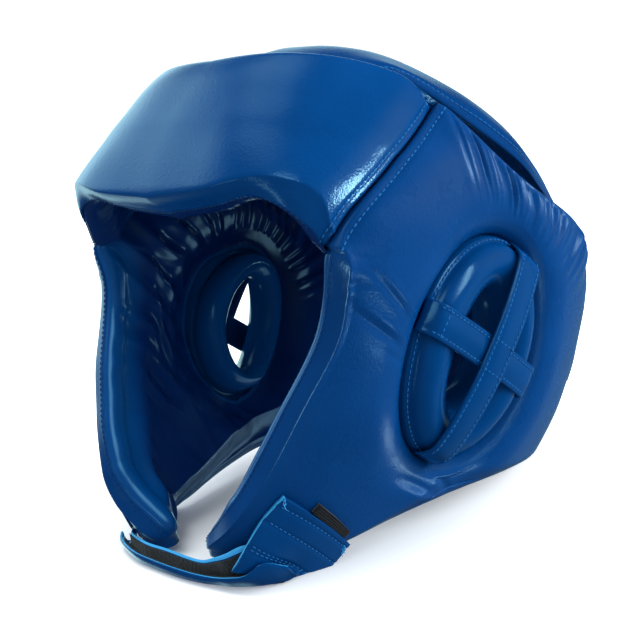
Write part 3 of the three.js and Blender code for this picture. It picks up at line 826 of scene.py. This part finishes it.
def crown_spot(t, side, rise_of):
    y, z, half, thick, sag = np.moveaxis(through(CROWN, t), -1, 0)
    up_y, up_z = out_of(CROWN, t)
    rise = thick / 2 * rise_of - sag * side**2
    return rested(np.stack([half * side, y + up_y * rise, z + up_z * rise], -1))


# Sine or cosine drawn out towards its ends, for a section that is fuller than an oval
def fuller(v, power):
    return np.sign(v) * np.abs(v) ** power


turn = np.linspace(0, 2 * np.pi, 96, endpoint=False)[None, :]
t = np.linspace(0, 1, 130)[:, None] + 0 * turn
side_share = fuller(np.cos(turn), 0.45) + 0 * t
sunk = bell(np.abs(side_share) - CROWN_ROW, 0.03) * (np.sin(turn) > 0)
crown_rings = crown_spot(t, side_share, fuller(np.sin(turn), 0.7) - 0.35 * sunk)
crown_rings[..., 2] += 0.8 * swell(crown_rings, 24)
crown_pad = grid_piece("crown_pad_cover", crown_rings, False, soft_leather)
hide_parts("crown_pad")
hem_rows = []
for side in (-1, 1):
    row = crown_spot(np.linspace(0.06, 0.97, 200), CROWN_ROW * side, 0.42)
    row[:, 2] += 0.8 * swell(row, 24) + 0.25
    hem_rows.append(row)
sew("crown_pad_stitches", hem_rows)

# Crown tail and rear strap: flat leather closures over the gap between the side pads at the back.
# The tail comes down from the crown over the rear rim, and the strap holds the two sides together.
# Stations of the tail downwards: worn place back and up, and how far its edges hang
TAIL = np.array([
    (55, 205.5, 9),
    (73, 195, 8.5),
    (87.5, 183, 8),
    (97.8, 168, 7.2),
    (102.5, 152, 7.2),
    (105.6, 136, 7.2),
], float)
TAIL_HALF = 36
REAR_STRAP = {"phi": (150, 210), "z": (92, 126)}


def tail_spot(t, w, lift):
    y, z, sag = np.moveaxis(through(TAIL, t), -1, 0)
    up_y, up_z = out_of(TAIL, t)
    side = 2 * w - 1
    rise = lift - STRAP_T / 2 - sag * side**2
    return rested(np.stack([TAIL_HALF * side, y + up_y * rise, z + up_z * rise], -1))


def rear_spot(t, w, lift):
    phi, z = between(*REAR_STRAP["phi"], t), between(*REAR_STRAP["z"], w)
    return rested(inside(phi, z, -2 * LAYER_GAP - lift))


# Section of a flat band: across its face and back along its underside, with its thickness
BAND_STEPS = 40
w_run = np.concatenate([np.linspace(0, 1, BAND_STEPS), np.linspace(1, 0, BAND_STEPS)])[None, :]
h_run = np.repeat([STRAP_T, 0], BAND_STEPS)[None, :]
FRAME_ROW = (0.06, 0.94)
edge = np.linspace(*FRAME_ROW, 60)
near, away = np.full(60, FRAME_ROW[0]), np.full(60, FRAME_ROW[1])
frame_t = np.concatenate([edge, away, edge[::-1], near])
frame_w = np.concatenate([near, edge, away, edge[::-1]])
for name, spot in (("crown_tail", tail_spot), ("rear_strap", rear_spot)):
    t = np.linspace(0, 1, 70)[:, None] + 0 * w_run
    piece = grid_piece(name + "_band", spot(t, w_run + 0 * t, h_run + 0 * t), False, blue_leather)
    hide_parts(name)
    sew(name + "_stitches", [spot(frame_t, frame_w, STRAP_T + 0.15)])

# Chin strap: a leather band from cheek to cheek that lies on the floor, curled up along both of its edges.
# Its inner face carries black loop tape for the fastening, and its cut edges show a paler core.
CHIN_T = 1.6
TAPE_T = 0.5
TAPE_GAP = 0.1
# Stations from right to left: front edge, two lines along the floor and rear edge
CHIN = np.array([
    [(-52, -104.5, 7.5), (-52.5, -102.5, 1.2), (-51, -98, 1), (-50.5, -97, 7.5)],
    [(-45.6, -109, 6.2), (-46, -106.8, 1), (-45, -103, 1), (-45.4, -102.4, 7.4)],
    [(-27, -114.2, 6.2), (-26.5, -112, 1), (-25.5, -108, 1), (-25.3, -106.8, 8.4)],
    [(-8, -115, 6), (-8, -113, 1), (-7.5, -108.5, 1), (-7.4, -107, 9)],
    [(8, -114.8, 6), (8, -112.6, 1), (8.3, -108.6, 1), (8.3, -107.2, 9)],
    [(22, -113.6, 5.8), (22, -110.8, 1), (21.5, -107.4, 1.2), (21, -107.4, 10)],
    [(33.5, -112, 6.2), (33, -107.4, 1), (32.5, -105.2, 1.4), (32, -108, 14)],
    [(44, -111, 8), (40.5, -104.8, 1), (40.5, -103.4, 2), (41.5, -108.4, 18)],
    [(54, -108.6, 10.5), (50, -98.4, 1), (50.5, -97, 3.4), (52, -105, 23)],
    [(59.6, -102, 15), (57, -92, 1.4), (57, -91, 4), (55, -97, 20)],
    [(62.5, -91, 9.5), (59, -84, 1.4), (58.5, -83, 3), (58.5, -84, 7)],
], float)


def chin_line(t, w):
    stations = through(CHIN, t)
    flat = stations.reshape(-1, 4, 3)
    across = np.broadcast_to(w, t.shape).reshape(-1)
    return np.array([through(row, np.array(k)) for row, k in zip(flat, across)]).reshape(t.shape + (3,))


def chin_spot(t, w, lift):
    p = chin_line(t, w)
    along_it = chin_line(np.clip(t + 0.004, 0, 1), w) - chin_line(np.clip(t - 0.004, 0, 1), w)
    over_it = chin_line(t, np.clip(w + 0.01, 0, 1)) - chin_line(t, np.clip(w - 0.01, 0, 1))
    normal = np.cross(along_it, over_it)
    normal /= np.linalg.norm(normal, axis=-1, keepdims=True)
    p = p + normal * (lift - CHIN_T / 2)[..., None]
    p[..., 1] -= CENTRE_Y
    p[..., 2] = np.maximum(p[..., 2], 0)
    return p


# Cut edge: the bare core of the leather, paler and duller than its skin.
cut_edge, tree = blank_material("cut_leather_edge")[:2]
surface(tree, {"Base Color": linear("#2FA4E4"), "Roughness": 0.55})

# Steps of the section that lie on the two cut edges
CUT_STEPS = (0, 1, 12, 13)
t = np.linspace(0, 1, 120)[:, None]
w = STRAP_SECTION["w"][None, :] + 0 * t
h = np.minimum(STRAP_SECTION["h"], 1)[None, :] * CHIN_T + 0 * t
chin_strap = grid_piece("chin_strap_band", chin_spot(t + 0 * w, w, h), False, blue_leather, cut_edge)
second_skin(chin_strap, len(t) - 1, w.shape[1], CUT_STEPS)
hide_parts("chin_strap")


# Loop tape: matt black nylon pile, drawn as a dense uneven nap that catches a little sheen.
def black_tape(name, nap_mm, bump_mm):
    material, tree, place = blank_material(name)
    nap = cloud(tree, place, 1 / (nap_mm * MM), 5)
    surface(tree, {
        "Base Color": blend(tree, nap, linear("#020308"), linear("#141820")),
        "Roughness": 0.9,
        "Normal": bumped(tree, nap, 0.9, bump_mm),
        "Sheen Weight": 0.15,
        "Sheen Roughness": 0.5,
    })
    return material


loop_tape = black_tape("nylon_loop_tape", 1.2, 0.8)
t = 0.08 + 0.82 * np.linspace(0, 1, 110)[:, None]
w = 0.05 + 0.9 * w_run + 0 * t
h = CHIN_T + TAPE_GAP + np.where(h_run > 0, TAPE_T, 0) + 0 * t
tape = grid_piece("chin_strap_tape_pile", chin_spot(t + 0 * w, w, h), False, loop_tape)
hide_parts("chin_strap_tape")

# Strap patches: the stitched leather ends of the chin strap, folded up and held on the cheeks by hook tape.
# The left one is peeled up a little, so the black ribbed hook tape shows along its top edge.
# Corners of a patch: angles and worn heights, along its top and along its bottom
PATCH = {
    "phi": np.array([[39, 59.5], [28.4, 53]], float),
    "z": np.array([[4.6, -10.8], [-26, -31]], float),
}
PATCH_TALL = 40
PEEL = {"left": 7.5, "right": 0}
HOOK = {"start": 0.33, "end": 0.88, "reach": 6}
# Stitch rows over a patch: from and to, down it and across it
PATCH_ROWS = (
    (0.12, 0.12, 0.06, 0.97),
    (0.36, 0.5, 0.08, 0.97),
    (0.66, 0.95, 0.06, 0.92),
    (0.7, 0.97, 0.06, 0.9),
)
# Steps down a patch, and how many of them show a cut edge
LEAF_STEPS = 60
CUT_END = {"left": 59, "right": 12}


def patch_spot(t, w, lift, peel=PEEL["left"]):
    def spread(key):
        (a, b), (c, d) = PATCH[key]
        return (a * (1 - w) + b * w) * (1 - t) + (c * (1 - w) + d * w) * t

    peel = peel * smooth((t - 0.3) / 0.7) * smooth((0.6 - w) / 0.6)
    return rested(inside(spread("phi"), spread("z"), -LAYER_GAP - peel - lift))


t = np.linspace(0, 1, LEAF_STEPS)[:, None] + 0 * w_run
puff = sum(bell(t - a - (b - a) * w_run, 0.03) for a, b, _, _ in PATCH_ROWS)
leaf_h = h_run * (1.1 - 0.22 * np.clip(puff, 0, 1))
face_thin = 0.35 + 0.65 * smooth(w_run / 0.35)
k = np.linspace(0, 1, 40)
for word, side in sides:
    thin = face_thin if word == "right" else 1
    leaf = on_side(patch_spot(t, w_run + 0 * t, leaf_h * thin, PEEL[word]), side)
    piece = grid_piece(word + "_strap_patch_leaf", leaf, False, blue_leather, cut_edge)
    second_skin(piece, CUT_END[word], w_run.size, [w_run.size - 1])
    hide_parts(word + "_strap_patch")
for word, side in sides:
    rows = [
        patch_spot(between(a, b, k), between(c, d, k), 0.92 * STRAP_T + 0.1, PEEL[word])
        for a, b, c, d in PATCH_ROWS
    ]
    rows = [on_side(row, side) for row in rows]
    sew(word + "_strap_patch_stitches", rows, pitch=2.6, length=1.8, thickness=0.55)

# Thread ends: bright polyester fibres left loose at the corners of the patch.
bright_thread = twisted_thread("polyester_thread_ends", "#1E7CC8", "#49B4F0")
ends = []
way = np.linspace(0, 1, 9)[:, None]
for corner_t, corner_w in ((0.02, 0.02), (0.06, 0.05), (0.12, 0.97), (0.2, 0.98)):
    spot = patch_spot(np.array([corner_t]), np.array([corner_w]), np.array([STRAP_T + 0.3]))[0]
    for k in range(4):
        turn = 2.4 * k + 9 * corner_w
        reach = np.array([math.cos(turn) * 0.5, -0.35 - 0.2 * math.sin(3 * turn), math.sin(turn) * 0.9])
        curl = np.array([math.sin(turn), -0.4, math.cos(turn)]) * 0.5
        ends.append(spot + reach * (1.3 + 0.5 * k) * way + curl * np.sin(way * np.pi))
for word, side in sides:
    sew(word + "_thread_ends", [on_side(line, side) for line in ends], 0.5, 0.9, 0.4, bright_thread)

# Hook tape: the same black nylon with stiff low hooks in ribs.
hook_tape = black_tape("nylon_hook_tape", 0.8, 0.3)
w = between(HOOK["start"], HOOK["end"], w_run)
down = np.linspace(0, 1, 40)[:, None]
t = -0.015 - HOOK["reach"] / PATCH_TALL * (1 - down) + 0 * w
rib = 0.35 * np.cos(down * 8 * np.pi) * (h_run > 0)
hook = grid_piece("left_hook_tape_ribs", patch_spot(t, w + 0 * t, h_run * 0.85 + rib), False, hook_tape)
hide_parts("left_hook_tape")

# Studio: a pale paper floor, soft light boxes and a camera at the height of a table top.
# Gloss and matt light are kept apart, because small bright screens light little but the shine.


# Smooth ramp from a weak to a strong glow between two readings
def ramp(tree, reading, start, full, weak, strong):
    span = {"Value": reading, "From Min": start, "From Max": full, "To Min": weak, "To Max": strong}
    made = add_node(tree, "ShaderNodeMapRange", span, interpolation_type="SMOOTHSTEP")
    return made.outputs["Result"]


floor_mesh = bpy.data.meshes.new("studio_floor")
floor_mesh.from_pydata([(-6, -6, 0), (6, -6, 0), (6, 6, 0), (-6, 6, 0)], [], [(0, 1, 2, 3)])
floor = linked("studio_floor", floor_mesh)
paper, tree, spot = blank_material("white_paper_painted_shadow")
# Painted shadow and painted light: the paper glows faintly within 6 cm of a point under the guard and fully
# beyond 22 cm, so the floor is darker round the guard and bright further out
far = add_node(tree, "ShaderNodeVectorMath", {0: spot, 1: (-0.03, -0.06, 0)}, operation="DISTANCE")
surface(tree, {
    "Base Color": linear("#F2F6F8"),
    "Roughness": 0.9,
    "Specular IOR Level": 0,
    "Emission Color": (1, 1, 1, 1),
    "Emission Strength": ramp(tree, far.outputs["Value"], 0.06, 0.22, 0.05, 0.9),
})
floor_mesh.materials.append(paper)
# The floor is seen and takes shadows, but throws no light back: the room below it stands for that
floor.visible_glossy = False
floor.visible_diffuse = False
paper.cycles.emission_sampling = "NONE"

near_pad = ["left_side_pad_cover"]
near_ear = ["left_ear_pad_cover", "left_ear_strap_long_band", "left_ear_strap_cross_band"]
far_inside = ["right_side_pad_cover", "right_ear_pad_cover"]
# Boxes that light matt leather, and small cards that only the gloss of the named pieces shows: place, point
# that it faces, size, power and pieces
LIGHTS = (
    ("right_box", (1.0, 0.42, 0.4), (0, 0, 0.12), (0.5, 0.5), 5.5, ()),
    ("top_box", (-0.4, -0.2, 1.35), (0, 0, 0.1), (0.9, 0.9), 13, ()),
    ("rear_box", (0.7, 0.88, 0.4), (0, 0, 0.12), (0.5, 0.5), 8, ()),
    ("seam_card", (0.186, 0.013, 0.16), (0.094, -0.0754, 0.17), (0.04, 0.055), 0.24, ["front_pad_cover"]),
    ("ear_card", (0.186, 0.013, 0.16), (0.1, 0.02, 0.12), (0.018, 0.055), 0.05, near_ear),
    ("pleat_card", (0.145, 0.19, 0.182), (0.095, 0, 0.162), (0.05, 0.05), 0.07, near_pad),
    ("cheek_card", (0.172, -0.222, 0.07), (0.084, -0.105, 0.09), (0.035, 0.13), 0.7, near_pad),
    ("dent_card", (0.26, -0.014, 0.03), (0.1, -0.074, 0.107), (0.03, 0.03), 0.06, near_pad),
    ("hem_card", (0.112, -0.012, 0.003), (0.08, -0.045, 0.028), (0.012, 0.012), 0.008, near_pad),
    ("rear_card", (0.095, 0.175, 0.103), (-0.085, -0.06, 0.12), (0.09, 0.03), 0.18, far_inside),
    ("floor_card", (0.01, 0, 0.003), (0.01, 0, 0.2), (0.12, 0.1), 0.07, far_inside),
)
for name, place, aim, size, power, lit in LIGHTS:
    lamp = bpy.data.lights.new(name, "AREA")
    lamp.shape = "RECTANGLE"
    lamp.size, lamp.size_y = size
    lamp.energy = power
    box = linked(name, lamp)
    box.location = place
    box.rotation_euler = (Vector(aim) - Vector(place)).to_track_quat("-Z", "Y").to_euler()
    box.visible_camera = False
    box.visible_glossy, box.visible_diffuse = bool(lit), not lit
    if lit:
        lamp.color = (0.62, 0.88, 1)
        box.light_linking.receiver_collection = bpy.data.collections.new(name + "_lights")
        for piece in lit:
            box.light_linking.receiver_collection.objects.link(bpy.data.objects[piece])

world = bpy.data.worlds.new("white_room")
world.use_nodes = True
tree = world.node_tree
tree.nodes.clear()
path = add_node(tree, "ShaderNodeLightPath")
way_out = add_node(tree, "ShaderNodeTexCoord").outputs["Generated"]
# White screens that the gloss reflects: direction, where the glow starts and is full, and its strength
SCREENS = (
    ((-0.9, 0.42, -0.1), 0.74, 0.95, 1.8),
    ((-0.92, -0.12, 0.38), 0.9, 1.0, 2.0),
    ((-0.42, 0.04, 0.91), 0.92, 1.0, 1.2),
    ((0.3, 0.6, -0.74), 0.75, 1.0, 0.25),
    ((-0.1, 0.9, -0.42), 0.85, 1.0, 0.3),
    ((-0.42, -0.84, -0.3), 0.975, 0.995, 8.0),
    ((0.63, 0.755, -0.17), 0.955, 0.985, 0.4),
    ((0.3, -0.5, 0.81), 0.93, 0.985, 5.0),
)
wall = None
for toward, start, full, power in SCREENS:
    facing = add_node(tree, "ShaderNodeVectorMath", {0: way_out, 1: toward}, operation="DOT_PRODUCT")
    glow = ramp(tree, facing.outputs["Value"], start, full, 0.005, power)
    wall = glow if wall is None else add_node(tree, "ShaderNodeMath", {0: wall, 1: glow}).outputs[0]
height = add_node(tree, "ShaderNodeSeparateXYZ", {"Vector": way_out})
dome = ramp(tree, height.outputs["Z"], -0.6, 0.8, 0.75, 1.0)
soft = add_node(tree, "ShaderNodeBackground", {"Color": (0.86, 0.94, 1, 1), "Strength": dome})
shine = add_node(tree, "ShaderNodeBackground", {"Color": (0.55, 0.92, 1, 1), "Strength": wall})
white = add_node(tree, "ShaderNodeBackground", {"Color": (1, 1, 1, 1), "Strength": 1.1})
room = soft
for ray, seen in (("Is Glossy Ray", shine), ("Is Camera Ray", white)):
    shares = {0: path.outputs[ray], 1: room.outputs[0], 2: seen.outputs[0]}
    room = add_node(tree, "ShaderNodeMixShader", shares)
add_node(tree, "ShaderNodeOutputWorld", {"Surface": room.outputs[0]})
# The room is met only by rays that leave a surface, so that gloss and matt light keep their own share of it
world.cycles.sampling_method = "NONE"
bpy.context.scene.world = world
bpy.context.scene.view_settings.view_transform = "Standard"

eye = bpy.data.cameras.new("table_camera")
eye.sensor_width = 36
eye.lens = 67.5
eye.clip_start = 0.01
camera = linked("table_camera", eye)
ahead = Vector((-0.7442, 0.63, -0.2221))
up = Vector((-0.0644, 0.2633, 0.9626))
side_way = ahead.cross(up).normalized()
up = side_way.cross(ahead).normalized()
camera.matrix_world = Matrix.Translation((0.4562, -0.4109, 0.2281)) @ Matrix(
    (side_way, up, -ahead)
).transposed().to_4x4()
bpy.context.scene.camera = camera
